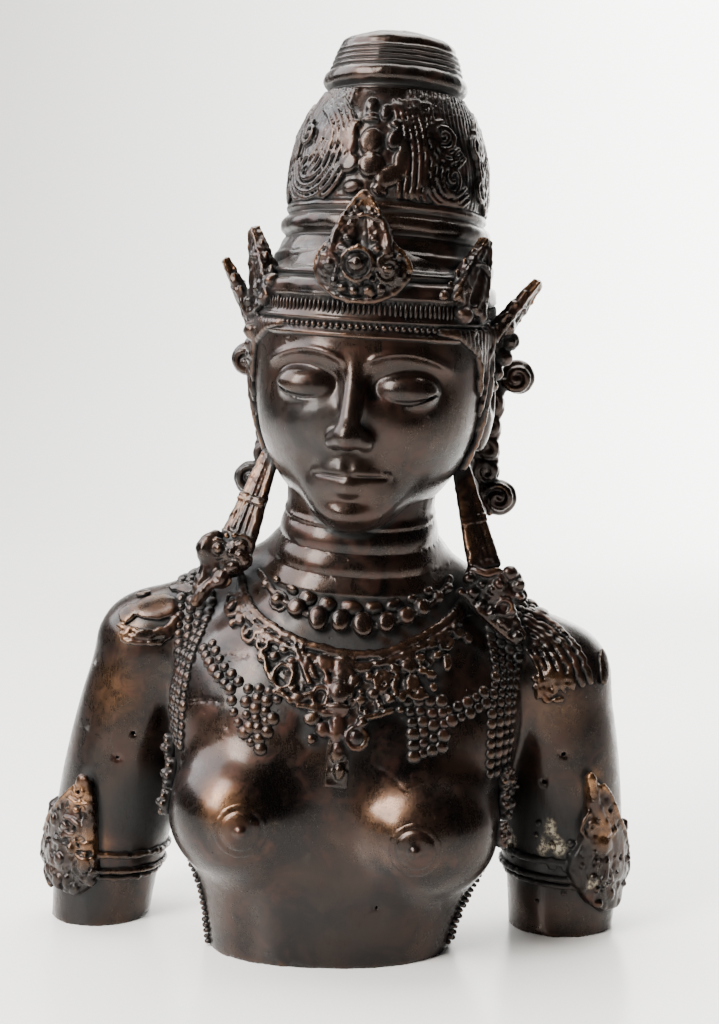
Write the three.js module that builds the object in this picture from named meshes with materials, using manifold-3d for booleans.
// A bronze bust of a crowned goddess, cast in one piece. It is cut flat under the breasts, and both
// arms are cut just below their armlets, so it stands on three flat feet.
// It faces -Y, +X is on the viewer's right and +Z is up. The origin is under the middle of the torso.

import * as THREE from "three";
import { mergeVertices } from "three/addons/utils/BufferGeometryUtils.js";
import Module from "manifold-3d";

const wasm = await Module();
wasm.setup();

// Driving dimensions, in millimetres and degrees
const HEIGHT = 248.3; // floor to the top of the crown
const LEAN = 4; // the whole figure leans towards the viewer's right
const HEAD_TURN = 4; // the face turns towards the figure's own right
const HEAD_BOW = 4; // the face bows forwards

// Every form below is in modules, as shares of the figure's height.
const MODULES_TALL = 248.3;
const MODULE = HEIGHT / MODULES_TALL;

// The cast metal
const BRONZE = { color: 0x4a3528, roughness: 0.42, metalness: 0.85 };

// Where the frames of the head and of the crown stand in the figure's frame
const HEAD_CENTRE = { x: 0.4, y: 1, z: 150 };
const CROWN_AXIS = { x: 1.2, y: 5 };

// Torso and neck, from the cut to inside the head: height, half width, front and back
const TRUNK_STATIONS = [
  [-10, 32.4, -33.5, 13],
  [0, 33.2, -35, 14.5],
  [12, 35.6, -36.3, 16],
  [22, 39.8, -37, 17],
  [36, 44, -37.5, 19],
  [52, 46.5, -36.5, 21],
  [68, 47.5, -33.5, 22],
  [80, 43, -29, 21],
  [90, 33, -24.5, 20],
  [98, 24.6, -21.5, 19],
  [106, 21.5, -20, 18.5],
  [130, 20.5, -19.5, 19],
];
const TRUNK_SQUARENESS = 2.3; // 2 is an ellipse
const NECK_FOLDS = { low: 96, high: 117, pitch: 6, depth: 0.8, slope: 0.2 };
const BREAST = { x: 23.5, y: -24, z: 37, radii: [20.5, 19.5, 19] };
const AREOLA_RADIUS = 5;
const SHOULDER_LOCK = [8, 5.5, 6];

// The arm's centreline from the shoulder to below the cut: x, y, z and radius
const ARM_STATIONS = [
  [57, 8, 74, 15.8],
  [61.3, 8.5, 48, 17.2],
  [65.2, 8.5, 16, 16.2],
  [66, 8, -12, 14.6],
];
const SHOULDER = { neckX: 8, neckY: 6, neckZ: 103, neckRadius: 12, armRadius: 14.2 };
const ARM_DRIFT = 0.022; // sideways for each unit down, towards the figure's own right
// An armlet's height over the figure's foot, which is more on the right because the figure leans
const ARMLET = { height: 10, rightRise: 9, facing: 44, leafHeight: 31, leafWidth: 20 };
const armletHeight = (side) => ARMLET.height + (side > 0 ? ARMLET.rightRise : 0);

// The skull in the head's frame, and the crown that stands on it
const SKULL = { y: 3, z: 15, radii: [33, 36, 36] };
const BUN = { height: 30, baseRadius: 28.2, topRadius: 18, locks: 10, lockDepth: 1 };
const CROWN_TOP = { rings: 5, pitch: 2.2, radius: 18.7, taper: 0.75 };
const BUN_BASE = HEAD_CENTRE.z + SKULL.z + SKULL.radii[2];
const BUN_TOP = BUN_BASE + BUN.height;

// Jewellery on the chest: half width, lowest height, rise to the ends, and drift of the lowest point
const NECKLACE = { halfWidth: 24, low: 88.5, rise: 12, drift: 4, beads: 12, beadRadius: 2.9 };
const COLLAR = { halfWidth: 30, low: 82.3, rise: 12.5, drift: 3, depth: 9, middleDepth: 9 };
const STRAP = { top: 90, bottom: 46, x: 38, spread: 5.5, width: 13 };

// The stretched ear lobes, from inside the ears to the shoulders
const LOBE = { top: [25.5, 0, 134], foot: [34.5, -4, 103], rod: 2.4, apart: 2.5 };

// In the head's frame: the ribbons behind the ears, and the stiff leaves over the temples, each
// with its heading, the height of its tip, its lean outwards and its width
const RIBBON = { inner: 24, outer: 38, y: 20, top: 6, bottom: -29, depth: 7, scallops: 5 };
const TEMPLE_LEAVES = [
  [-66, 43, 4, 11],
  [-90, 35.5, 9, 8],
  [56, 43.5, 3.5, 13],
  [92, 33.5, 11, 10],
];

const radians = THREE.MathUtils.degToRad;
const { lerp, clamp } = THREE.MathUtils;
const vector = (x, y, z) => new THREE.Vector3(x, y, z);
const mirrored = (make) => [-1, 1].map((side) => make(side));
const evenly = (count, make) => Array.from({ length: count }, (_, i) => make(i / (count - 1), i));
const turns = (count) => Array.from({ length: count }, (_, i) => (360 * i) / count);

// Headings run from the front, positive towards +X.
const heading = (degrees) => vector(Math.sin(radians(degrees)), -Math.cos(radians(degrees)), 0);

// Forms as fields: a function of a point that is negative inside the form

const ellipsoid = (x, y, z, [a, b, c]) => (p) => {
  const [u, v, w] = [(p.x - x) / a, (p.y - y) / b, (p.z - z) / c];
  const share = Math.hypot(u, v, w);
  return (share * (share - 1)) / Math.max(Math.hypot(u / a, v / b, w / c), 1e-6);
};

// A limb whose radius goes evenly from one end to the other.
const limb = (from, to, fromRadius, toRadius) => {
  const along = to.clone().sub(from);
  return (p) => {
    const offset = p.clone().sub(from);
    const share = clamp(offset.dot(along) / along.lengthSq(), 0, 1);
    return offset.addScaledVector(along, -share).length() - lerp(fromRadius, toRadius, share);
  };
};

const blend = (a, b, fillet) => {
  const near = Math.max(fillet - Math.abs(a - b), 0) / fillet;
  return Math.min(a, b) - (near * near * fillet) / 4;
};
const joined = (fillet, ...fields) => (p) => fields.map((f) => f(p)).reduce((a, b) => blend(a, b, fillet));
const hollowed = (fillet, field, tool) => (p) => -blend(-field(p), tool(p), fillet);

// How far the search for a form's surface goes, to the side and to the front
const SEARCH = { side: 100, front: 70 };

// How far from the origin, along the direction, the form's outermost surface is.
function reach(field, origin, direction, farthest) {
  const at = (distance) => field(origin.clone().addScaledVector(direction, distance));
  const step = farthest / 60;
  let outside = farthest;
  while (outside > step && at(outside - step) > 0) outside -= step;
  let inside = outside - step;
  for (let halving = 0; halving < 14; halving++) {
    const middle = (inside + outside) / 2;
    if (at(middle) > 0) outside = middle;
    else inside = middle;
  }
  return (inside + outside) / 2;
}

// A point on the form, or lifted off it, on one heading from the axis at one height.
function around(field, degrees, z, lift = 0, axis = vector(0, 0, 0)) {
  const origin = vector(axis.x, axis.y, z);
  return origin.addScaledVector(heading(degrees), reach(field, origin, heading(degrees), SEARCH.side) + lift);
}

// A point on the form's front, or lifted off it, straight in front of x and z.
function inFront(field, x, z, lift = 0) {
  const origin = vector(x, 0, z);
  return origin.addScaledVector(heading(0), reach(field, origin, heading(0), SEARCH.front) + lift);
}

// Solids

function solidOf(geometry) {
  geometry.deleteAttribute("normal");
  geometry.deleteAttribute("uv");
  const merged = mergeVertices(geometry, 1e-4);
  const index = merged.index.array;
  const faces = [];
  for (let i = 0; i < index.length; i += 3) {
    const [a, b, c] = index.slice(i, i + 3);
    if (a !== b && b !== c && c !== a) faces.push(a, b, c);
  }
  const vertProperties = Float32Array.from(merged.attributes.position.array);
  return new wasm.Manifold(new wasm.Mesh({ numProp: 3, vertProperties, triVerts: Uint32Array.from(faces) }));
}

// A closed skin over rings of points that turn anticlockwise as seen from the last ring. Its
// triangles mirror each other across the rings' first point.
function shell(rings) {
  const count = rings[0].length;
  const last = (rings.length - 1) * count;
  const middle = (ring) => ring.reduce((sum, p) => sum.add(p), vector(0, 0, 0)).divideScalar(count);
  const points = [...rings.flat(), middle(rings[0]), middle(rings[rings.length - 1])];
  const faces = [];
  for (let c = 0; c < count; c++) {
    const next = (c + 1) % count;
    for (let low = 0; low < last; low += count) {
      const high = low + count;
      if (2 * c < count) faces.push(low + c, low + next, high + next, low + c, high + next, high + c);
      else faces.push(low + c, low + next, high + c, low + next, high + next, high + c);
    }
    faces.push(points.length - 2, next, c, points.length - 1, last + c, last + next);
  }
  return new THREE.BufferGeometry().setFromPoints(points).setIndex(faces);
}

// A wax thread: a tube along points, whose radius follows its share of the length.
function thread(points, radiusAt, sides = 4) {
  const frames = new THREE.CatmullRomCurve3(points).computeFrenetFrames(points.length - 1, false);
  return shell(
    points.map((point, i) =>
      turns(sides).map((turn) => {
        const radius = radiusAt(i / (points.length - 1));
        return point
          .clone()
          .addScaledVector(frames.normals[i], radius * Math.cos(radians(turn)))
          .addScaledVector(frames.binormals[i], radius * Math.sin(radians(turn)));
      }),
    ),
  );
}

// A ring of points round an axis, on a form or lifted off it. Crowding brings its points closer
// together at the sides.
const level = (field, z, lift, columns, axis, crowding = 0) =>
  turns(columns).map((degrees) =>
    around(field, degrees + crowding * Math.sin(radians(2 * degrees)), z, lift, axis),
  );

const pellet = (centre, radii) =>
  new THREE.IcosahedronGeometry(1, 0)
    .scale(...(Array.isArray(radii) ? radii : [radii, radii, radii]))
    .translate(centre.x, centre.y, centre.z);

// A round boss that faces forwards, tapered towards its face.
const boss = (centre, radius, depth, taper = 1) =>
  new THREE.CylinderGeometry(radius, radius * taper, depth, 7).translate(centre.x, centre.y, centre.z);

// A pointed leaf from its base to its tip, thick along its midrib.
function leaf(base, tip, width, thickness, facing) {
  const along = tip.clone().sub(base);
  const across = along.clone().cross(facing).normalize();
  const out = along.clone().cross(across).normalize();
  return shell(
    evenly(5, (share) => {
      const swell = Math.sin(Math.PI * (0.25 + 0.73 * share)) ** 0.85;
      return turns(6).map((turn) =>
        base
          .clone()
          .addScaledVector(along, share)
          .addScaledVector(across, 0.5 * width * swell * Math.cos(radians(turn)))
          .addScaledVector(out, 0.5 * thickness * (0.3 + 0.7 * swell) * Math.sin(radians(turn))),
      );
    }),
  );
}

// A curl: a thread wound in a flat spiral that faces one way.
function curl(centre, radius, windings, startDegrees, facing, thickness) {
  const right = vector(0, 0, 1).cross(facing).normalize();
  const up = facing.clone().cross(right).normalize();
  const points = evenly(Math.round(windings * 7) + 1, (share) => {
    const angle = radians(startDegrees + 360 * windings * share);
    const distance = radius * (1 - 0.75 * share);
    return centre
      .clone()
      .addScaledVector(right, distance * Math.cos(angle))
      .addScaledVector(up, distance * Math.sin(angle));
  });
  return thread(points, () => thickness);
}

// The body's fields

const trunkSizes = new THREE.CubicInterpolant(
  TRUNK_STATIONS.map((station) => station[0]),
  TRUNK_STATIONS.flatMap((station) => station.slice(1)),
  3,
);
const neckFold = (p) => {
  const { low, high, pitch, depth, slope } = NECK_FOLDS;
  const z = p.z - slope * p.y;
  return z > low && z < high ? depth * Math.abs(Math.sin((Math.PI * (z - low)) / pitch)) : 0;
};
const trunkField = (p) => {
  const [half, front, back] = trunkSizes.evaluate(clamp(p.z, -10, 130));
  const middle = (front + back) / 2;
  const [u, v] = [Math.abs(p.x) / half, (2 * Math.abs(p.y - middle)) / (back - front)];
  const share = (u ** TRUNK_SQUARENESS + v ** TRUNK_SQUARENESS) ** (1 / TRUNK_SQUARENESS);
  return Math.hypot(p.x, p.y - middle) * (1 - 1 / Math.max(share, 1e-3)) - neckFold(p);
};

const breastField = (side) => ellipsoid(side * BREAST.x, BREAST.y, BREAST.z, BREAST.radii);
const torsoField = joined(5, trunkField, ...mirrored(breastField));

const armPoint = (side, [x, y, z]) => vector(side * x - ARM_DRIFT * (ARM_STATIONS[0][2] - z), y, z);
const armField = (side, slimmer = 0) =>
  joined(
    6,
    ...ARM_STATIONS.slice(1).map((station, i) => {
      const [upper, lower] = [ARM_STATIONS[i], station];
      return limb(armPoint(side, upper), armPoint(side, lower), upper[3] - slimmer, lower[3] - slimmer);
    }),
  );
const shoulderField = (side) => {
  const { neckX, neckY, neckZ, neckRadius, armRadius } = SHOULDER;
  return limb(vector(side * neckX, neckY, neckZ), armPoint(side, ARM_STATIONS[0]), neckRadius, armRadius);
};

// The arms are solids of their own, so the body's skin runs a little inside them.
const ARM_COVER = 1.5;
const bodyField = joined(
  7,
  torsoField,
  ...mirrored((side) => armField(side, ARM_COVER)),
  ...mirrored(shoulderField),
);

// The head's fields, about the head's centre

const skullField = joined(
  10,
  ellipsoid(0, SKULL.y, SKULL.z, SKULL.radii),
  ellipsoid(0, -5, -5, [28.5, 27, 30]),
  ellipsoid(0, -23, -26.5, [10.5, 9, 8]),
);
const cheekField = (side) => ellipsoid(side * 13, -22, -8, [10, 9, 11]);
const socketField = (side) => ellipsoid(side * 12.5, -38, 5, [9.5, 6.5, 5.5]);
const lidField = (side) => ellipsoid(side * 12.5, -27.6, 4.2, [8.6, 7, 5]);
const browField = (side) =>
  joined(
    1,
    limb(vector(side * 3, -33.5, 9), vector(side * 12, -32.8, 12.4), 2, 2),
    limb(vector(side * 12, -32.8, 12.4), vector(side * 23.5, -24.5, 9), 2, 1.6),
  );
const noseField = joined(
  2.5,
  limb(vector(0, -32.5, 9), vector(0, -38.5, -8.5), 2.6, 3.7),
  ellipsoid(0, -39.5, -9.6, [3.9, 3.6, 3.4]),
  ...mirrored((side) => ellipsoid(side * 4.6, -36, -11, [2.9, 4, 2.7])),
);
const lipsField = joined(
  0.8,
  ...mirrored((side) => limb(vector(side * 1.5, -34.4, -18), vector(side * 9, -30, -19.4), 2.1, 1)),
  ...mirrored((side) => limb(vector(0, -33.6, -21.8), vector(side * 8, -30, -20.2), 2.4, 1)),
);
const faceField = joined(
  1.6,
  hollowed(4, joined(7, skullField, ...mirrored(cheekField)), joined(1, ...mirrored(socketField))),
  noseField,
  lipsField,
  ...mirrored(lidField),
  ...mirrored(browField),
);

// The body's solids

const TORSO_COLUMNS = 24;
const TORSO_CROWDING = 5;
const TORSO_LEVELS = [-10, 2, 12, 20, 28];
const GIRDLE_LEVELS = [32, 39, 48, 57, 66, 75, 81, 86.5, 91, 95];
const NECK_LEVELS = [98, 101, 104, 107, 110, 125];
const torsoLevel = (field) => (z) => level(field, z, 0, TORSO_COLUMNS, vector(0, 0, 0), TORSO_CROWDING);
const torso = shell([
  ...TORSO_LEVELS.map(torsoLevel(torsoField)),
  ...GIRDLE_LEVELS.map(torsoLevel(bodyField)),
  ...NECK_LEVELS.map(torsoLevel(bodyField)),
]);

// An arm with its armlet's ridged band. Each level is a height over the armlet and a lift. The
// armlet's own height is lost towards the shoulder.
const ARM_LEVELS = [
  [-24, 0],
  [-5.4, 0],
  [-4.6, 1.2],
  [-2.6, 0.2],
  [-0.8, 1.8],
  [1, 1.6],
  [2.2, 0],
  [21, 0],
  [38, 0],
  [54, 0],
  [64, 0],
  [71, 0],
  [75.5, 0],
  [78, 0],
];
const armAxis = (side) => armPoint(side, ARM_STATIONS[2]);
const shoulderAxis = (side) => armPoint(side, ARM_STATIONS[0]);
const arm = (side) => {
  const top = ARM_LEVELS[ARM_LEVELS.length - 1][0];
  const atLevel = ([rise, lift]) => {
    const z = lerp(armletHeight(side), ARMLET.height, clamp(rise / top, 0, 1)) + rise;
    return level(armField(side), z, lift, 13, z > ARM_STATIONS[1][2] ? shoulderAxis(side) : armAxis(side));
  };
  return shell(ARM_LEVELS.map(atLevel));
};

const nipples = mirrored((side) => {
  const centre = inFront(torsoField, side * 23, 36.5);
  return [
    boss(centre.clone().add(vector(0, 1, 0)), AREOLA_RADIUS, 4.8, 0.6),
    pellet(centre.clone().add(vector(0, -1.4, 0)), 2.1),
  ];
}).flat();

// The head's solids

// Levels of the face, closest at the features, and the depth of the axis that each is drawn round.
const FACE_LEVELS = [
  [-34, -20],
  [-31.5, -18],
  [-27.5, -15],
  [-23.6, -12],
  [-21.6, -10],
  [-19.7, -9],
  [-18, -8],
  [-15.4, -6],
  [-12.6, -5],
  [-9.6, -3],
  [-5.5, -2],
  [-0.8, 0],
  [2.2, 0],
  [4.6, 0],
  [7.4, 0],
  [10.2, 0],
  [13.4, 0],
  [19, 0],
];
function head() {
  const headings = turns(34).map((degrees) => degrees - 37 * Math.sin(radians(degrees)));
  return shell(
    FACE_LEVELS.map(([z, y]) => headings.map((degrees) => around(faceField, degrees, z, 0, vector(0, y, 0)))),
  );
}

// The diadem: a woven band across the forehead, and two rings round the cap over it.
const DIADEM_LEVELS = [
  [11, -3],
  [14.5, 1.1],
  [20, 1],
  [22, -0.4],
  [23.6, 2.3],
  [27.2, 2.3],
  [28.8, 0.2],
  [30.4, 1.7],
  [32.6, 1.5],
  [34, -1],
  [42, -2],
];
const diadem = () => shell(DIADEM_LEVELS.map(([z, lift]) => level(skullField, z, lift, 22)));

// The tall leaf in front stands on three rosettes, over a hanging lobe.
function frontOrnament() {
  const seat = around(skullField, 0, 28);
  const rosettes = [-1, 0, 1].map((i) =>
    boss(vector(7.4 * i, seat.y - 3 + 0.8 * Math.abs(i), seat.z), 2.4, 6, 1.7),
  );
  const lobe = pellet(vector(0, seat.y - 2.5, seat.z - 6), [6.5, 3.5, 5.5]);
  const [foot, tip] = [vector(0, seat.y - 2, seat.z - 2), vector(-0.5, seat.y + 5, seat.z + 23)];
  return [...rosettes, lobe, leaf(foot, tip, 15, 7, heading(0))];
}

const templeLeaves = TEMPLE_LEAVES.map(([degrees, tipHeight, lean, width]) => {
  const base = around(skullField, degrees, 20, 1);
  const tip = base.clone().addScaledVector(heading(degrees), lean).setZ(tipHeight);
  return leaf(base, tip, width, 5.5, heading(degrees));
});

// Behind each ear a stiff ribbon hangs from one scroll to another, with a scalloped outer edge.
function ribbon(side) {
  const rings = evenly(2 * RIBBON.scallops + 1, (share, i) => {
    const outer = RIBBON.outer + (i % 2 ? 0.9 : -0.4);
    const half = (outer - RIBBON.inner) / 2;
    const x = side * (RIBBON.inner + half);
    const z = lerp(RIBBON.bottom, RIBBON.top, share);
    return [45, 135, 225, 315].map((corner) => {
      const across = Math.SQRT2 * Math.cos(radians(corner));
      const back = Math.SQRT2 * Math.sin(radians(corner));
      return vector(x + half * across, RIBBON.y + 0.5 * RIBBON.depth * back, z);
    });
  });
  const scroll = (x, z, radius) => boss(vector(x, RIBBON.y, z), radius, 9);
  return [shell(rings), scroll(side * 40, 7, 5.4), scroll(side * 37, -30, 5.2)];
}

const ear = (side) => pellet(vector(side * 29, 4, 2), [5.5, 8, 17]);

// The stretched lobes hang to the shoulders, ribbed by three rods, and end in flower clusters.
function earring(side) {
  const [top, foot] = [LOBE.top, LOBE.foot].map(([x, y, z]) => vector(side * x, y, z));
  const across = vector(0.9, -0.25 * side, 0.34 * side);
  const out = across.clone().cross(foot.clone().sub(top)).normalize();
  const section = [-1, 0, 1].flatMap((i) => [
    [LOBE.apart * i - 0.9, -LOBE.rod],
    [LOBE.apart * i + 0.3, -LOBE.rod],
    [LOBE.apart * (i + 0.5), -0.45 * LOBE.rod],
  ]);
  section.splice(-1, 1, [1.5 * LOBE.apart, LOBE.rod], [-1.5 * LOBE.apart, LOBE.rod]);
  const rings = [foot, top].map((end, i) =>
    section.map(([u, v]) =>
      end.clone().addScaledVector(across, u * (1 - 0.25 * i)).addScaledVector(out, v * (1 - 0.15 * i)),
    ),
  );
  const petals = [
    [1, 0, -2.5, 5.6],
    [6.2, 1, -3, 4.2],
    [3.6, -0.6, -9.5, 5.4],
    [6.4, -0.5, -15, 3.6],
  ];
  const cluster = petals.map(([x, y, z, radius]) => pellet(foot.clone().add(vector(side * x, y, z)), radius));
  return [shell(rings), ...cluster];
}

// The crown: two rings on a flared cap, a bun of hair in locks, and ring grooves under a rounded top.
const bunRadius = (share) => lerp(BUN.baseRadius, BUN.topRadius, share ** 2.3) - 1.2 * (1 - share) ** 6;
function crown() {
  const columns = turns(2 * BUN.locks);
  const ring = (radius, z) => columns.map((degrees) => heading(degrees).multiplyScalar(radius).setZ(z));
  const cap = [
    [29, -20],
    [30.8, -14],
    [27.4, -8.4],
    [26.4, -7.4],
    [28, -6],
    [28, -3.8],
    [26.3, -2.4],
    [27, -1],
  ].map(([radius, rise]) => ring(radius, BUN_BASE + rise));
  const bun = evenly(6, (share) =>
    columns.map((degrees, i) => {
      const swirl = 24 * share * Math.sin(radians(degrees));
      return heading(degrees + swirl)
        .multiplyScalar(bunRadius(share) - BUN.lockDepth * (i % 2))
        .setZ(lerp(BUN_BASE, BUN_TOP, share));
    }),
  );
  const collarRings = [
    [17.4, 0.7],
    [19.3, 2],
    [19.3, 4.4],
    [17.8, 5.6],
  ].map(([radius, rise]) => ring(radius, BUN_TOP + rise));
  const grooves = evenly(CROWN_TOP.rings, (_, i) => {
    const radius = CROWN_TOP.radius - CROWN_TOP.taper * i;
    const z = BUN_TOP + 5.6 + CROWN_TOP.pitch * i;
    return [ring(radius, z + 0.5 * CROWN_TOP.pitch), ring(radius - 1, z + CROWN_TOP.pitch)];
  }).flat();
  const end = BUN_TOP + 5.6 + CROWN_TOP.rings * CROWN_TOP.pitch;
  return shell([...cap, ...bun, ...collarRings, ...grooves, ring(12, end + 0.4), ring(6, end + 1)]);
}

const onBun = (degrees, z, lift) =>
  heading(degrees)
    .multiplyScalar(bunRadius((z - BUN_BASE) / (BUN_TOP - BUN_BASE)) + lift)
    .setZ(z);

// On the bun's front, curls of hair roll up on both sides of a medallion.
function bunCarving() {
  const curls = [-44, 38].map((degrees) =>
    curl(onBun(degrees, BUN_BASE + 17, 0.2), 6.4, 1.1, degrees > 0 ? 90 : 20, heading(degrees), 1.6),
  );
  const medallion = [
    [-4, 14, [4.2, 3, 6.5]],
    [-17, 10, [3.4, 3, 5]],
    [9, 10, [3.4, 3, 5]],
  ].map(([degrees, rise, radii]) => pellet(onBun(degrees, BUN_BASE + rise, -0.2), radii));
  return [...curls, ...medallion];
}

// Jewellery on the body

// A string of beads: a thread that swells at every bead.
const beadString = (beads, radius, place) =>
  thread(
    evenly(2 * beads - 1, (share) => place(share)),
    (share) => radius * (Math.round(share * (2 * beads - 2)) % 2 ? 0.55 : 1),
  );

const necklace = beadString(NECKLACE.beads, NECKLACE.beadRadius, (share) => {
  const swing = 2 * share - 1;
  const x = NECKLACE.drift * (1 - swing * swing) + NECKLACE.halfWidth * swing;
  return inFront(bodyField, x, NECKLACE.low + NECKLACE.rise * swing * swing, 0.4);
});

// A place on the broad collar: its swing from end to end, how far below its upper edge, and its lift.
const onCollar = (swing, drop, lift) => {
  const x = COLLAR.drift * (1 - swing * swing) + COLLAR.halfWidth * swing;
  return inFront(bodyField, x, COLLAR.low + COLLAR.rise * swing * swing - drop, lift);
};
const collarDepth = (swing) => COLLAR.depth + COLLAR.middleDepth * (1 - Math.abs(swing)) ** 1.5;

// The collar has a torque for its upper edge, a scalloped lower edge, and flower bosses.
function collar() {
  const rings = evenly(13, (share, i) => {
    const swing = 2 * share - 1;
    const depth = collarDepth(swing) + (i % 2 ? 1.2 : -1);
    return [
      onCollar(swing, -1.6, -2),
      onCollar(swing, -1.2, 2.6),
      onCollar(swing, 1.4, 2.6),
      onCollar(swing, 2.6, 1),
      onCollar(swing, depth, 1.5),
      onCollar(swing, depth, -2),
    ];
  });
  const flowers = evenly(3, (share) => share - 0.5).map((swing) =>
    pellet(onCollar(swing, 0.6 * collarDepth(swing), 1.2), [3.4, 2.2, 3.4]),
  );
  const pendant = [63, 56].map((z, i) => pellet(inFront(bodyField, 1 + i, z, 0.4), [3.2 - i, 2.6, 4.6]));
  return [shell(rings), ...flowers, ...pendant];
}

// Beaded tassels hang from the collar over each breast.
function tassel(side) {
  const section = [
    [1, -2],
    [-1, -2],
    [-0.9, 2.2],
    [0, 0.9],
    [0.9, 2.2],
  ];
  const rings = evenly(3, (share) =>
    section.map(([across, lift]) =>
      inFront(bodyField, side * 16.5 + 1 + (3.2 + 1.4 * share) * across, lerp(55, 74, share), lift),
    ),
  );
  return shell(rings);
}

// Straps of bead strings run from the shoulders to clasps at the armpits.
function strap(side) {
  const section = [
    [1, -6],
    [-1, -6],
    [-0.9, 1.5],
    [0, 0.5],
    [0.9, 1.5],
  ];
  const rings = evenly(5, (share) =>
    section.map(([across, lift]) => {
      const middle = STRAP.x + STRAP.spread * Math.cos(radians(90 * share));
      const x = side * middle + STRAP.width * (0.32 + 0.18 * share) * across;
      return inFront(bodyField, x, lerp(STRAP.bottom, STRAP.top, share), lift);
    }),
  );
  const clasp = pellet(inFront(bodyField, side * 44, 41, -0.8), [5.4, 4.4, 9]);
  return [shell(rings), clasp];
}

// A cord follows the side of the torso from the clasp to the cut.
const sideCord = (side) =>
  thread(
    evenly(4, (share) => around(torsoField, side * 72, lerp(33, -6, share), 0)),
    () => 1.7,
  );

// Each armlet carries a tall leaf set with pellets, which faces forwards and outwards.
function armletLeaf(side) {
  const at = (rise, lift) =>
    around(armField(side), side * ARMLET.facing, armletHeight(side) + rise, lift, armAxis(side));
  const pellets = [
    [2, 4],
    [9, 3.4],
    [15.5, 2.8],
  ].map(([rise, radius]) => pellet(at(rise, 2.2), radius));
  const [foot, tip] = [at(-6, 0.4), at(ARMLET.leafHeight - 2, 0)];
  return [leaf(foot, tip, ARMLET.leafWidth, 7, heading(side * ARMLET.facing)), ...pellets];
}

// A lock of hair lies curled on each shoulder.
const shoulderLock = (side) =>
  pellet(shoulderAxis(side).add(vector(-3 * side, -10.5, 10.5)), SHOULDER_LOCK);

// The whole casting

const headSolids = [
  head(),
  diadem(),
  ...frontOrnament(),
  ...templeLeaves,
  ...mirrored(ribbon).flat(),
  ...mirrored(ear),
];
const crownSolids = [crown(), ...bunCarving()];
const bodySolids = [
  torso,
  ...mirrored(arm),
  ...nipples,
  ...mirrored(earring).flat(),
  necklace,
  ...collar(),
  ...mirrored(tassel),
  ...mirrored(strap).flat(),
  ...mirrored(sideCord),
  ...mirrored(armletLeaf).flat(),
  ...mirrored(shoulderLock),
];

const headPlace = new THREE.Matrix4()
  .makeTranslation(HEAD_CENTRE.x, HEAD_CENTRE.y, HEAD_CENTRE.z)
  .multiply(new THREE.Matrix4().makeRotationZ(-radians(HEAD_TURN)))
  .multiply(new THREE.Matrix4().makeRotationX(radians(HEAD_BOW)));
const crownPlace = new THREE.Matrix4().makeTranslation(CROWN_AXIS.x, CROWN_AXIS.y, 0);
const figure = [
  ...bodySolids,
  ...headSolids.map((geometry) => geometry.applyMatrix4(headPlace)),
  ...crownSolids.map((geometry) => geometry.applyMatrix4(crownPlace)),
];

// Everything under the floor is cut away.
function floorTool() {
  const [breadth, depth] = [400, 60];
  return new THREE.BoxGeometry(breadth, breadth, depth).translate(0, 0, -depth / 2);
}

function cast() {
  const lean = new THREE.Matrix4().makeRotationY(radians(LEAN));
  const solids = figure.map((geometry) => solidOf(geometry.applyMatrix4(lean)));
  const whole = solids.reduce((all, one) => all.add(one)).subtract(solidOf(floorTool()));
  const { vertProperties, triVerts } = whole.getMesh();
  const geometry = new THREE.BufferGeometry()
    .setAttribute("position", new THREE.BufferAttribute(vertProperties, 3))
    .setIndex(new THREE.BufferAttribute(triVerts, 1))
    .scale(MODULE, MODULE, MODULE);
  geometry.computeVertexNormals();
  return geometry;
}

const bust = new THREE.Mesh(cast(), new THREE.MeshStandardMaterial(BRONZE));
bust.name = "bust";

const group = new THREE.Group();
group.add(bust);

export default group;
